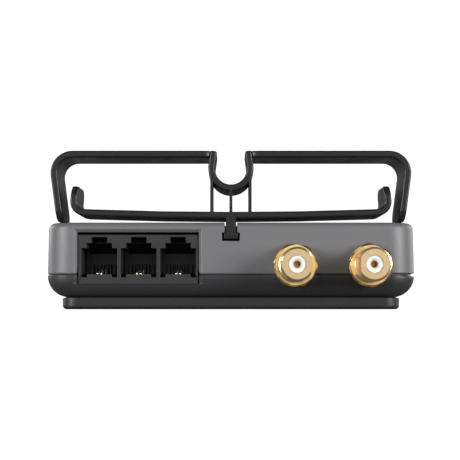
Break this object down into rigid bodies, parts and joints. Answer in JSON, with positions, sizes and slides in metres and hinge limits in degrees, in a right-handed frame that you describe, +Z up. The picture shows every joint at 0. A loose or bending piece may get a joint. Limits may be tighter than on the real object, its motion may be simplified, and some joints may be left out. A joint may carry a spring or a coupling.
{
  "type": "optical network terminal",
  "caption": "Flat two-part network terminal housing with phone, coax, network and fibre sockets, a cable guide on top and a wall plate below.",
  "frame": {"origin": "centre of the wall plate's underside", "axes": "+Z up, phone and coax sockets face -Y, fibre and network sockets face +Y"},
  "size_m": [0.1036, 0.1438, 0.0441],
  "materials": {
    "grey_plastic": "fine spark-eroded grain",
    "charcoal_plastic": "fine spark-eroded grain",
    "guide_plastic": "smooth moulded satin",
    "black_plastic": "satin glass-filled plastic",
    "button_plastic": "satin",
    "green_plastic": "satin",
    "gold": "gold-plated brass",
    "white_dielectric": "turned white insulator",
    "steel": "tinned and pressed",
    "aluminium": "plain",
    "copper": "enamelled winding",
    "circuit_board": "solder mask over glass laminate",
    "chip_package": "moulded epoxy",
    "ceramic": "ground zirconia",
    "clear_plastic": "clear moulded light pipe",
    "lamp": "lamp body"
  },
  "bodies": {
    "housing": {"upper_shell": "grey_plastic", "lower_shell": "charcoal_plastic", "housing_screws": "steel", "main_board": "circuit_board", "phone_jack_block": "black_plastic", "phone_contacts": "gold", "coax_shield_can": "steel", "network_jack_block": "black_plastic", "network_jack_shield": "steel", "network_contacts": "gold", "optical_module": "steel", "fibre_adapter": "green_plastic", "fibre_sleeve": "ceramic", "power_jack": "black_plastic", "power_jack_pin": "steel", "power_switch": "black_plastic", "reset_switch": "black_plastic", "light_pipe": "clear_plastic", "indicator_lights": "lamp", "heat_sink": "aluminium", "supply_capacitors": "aluminium", "power_coil": "copper", "main_processor": "chip_package", "memory_chip": "chip_package", "line_interface_chips": "chip_package", "network_transformers": "chip_package", "left_coax_barrel": "gold", "left_coax_insulator": "white_dielectric", "left_coax_contact": "gold", "left_coax_washer": "gold", "left_coax_nut": "gold", "right_coax_barrel": "gold", "right_coax_insulator": "white_dielectric", "right_coax_contact": "gold", "right_coax_washer": "gold", "right_coax_nut": "gold"},
    "guide": {"cable_guide": "guide_plastic"},
    "wall_bracket": {"wall_plate": "charcoal_plastic"},
    "power_key": {"power_button": "button_plastic"},
    "reset_key": {"reset_button": "button_plastic"}
  },
  "joints": [
    {"name": "guide_slide", "type": "slide", "parent": "housing", "child": "guide", "axis": [0, -1, 0], "range_m": [0, 0.018]},
    {"name": "wall_plate_slide", "type": "slide", "parent": "housing", "child": "wall_bracket", "axis": [0, -1, 0], "range_m": [0, 0.012]},
    {"name": "power_press", "type": "slide", "parent": "housing", "child": "power_key", "axis": [0, -1, 0], "range_m": [0, 0.0015], "stiffness_N_per_m": 900, "springref_m": -0.0006},
    {"name": "reset_press", "type": "slide", "parent": "housing", "child": "reset_key", "axis": [0, -1, 0], "range_m": [0, 0.0005], "stiffness_N_per_m": 1500, "springref_m": -0.0003}
  ]
}
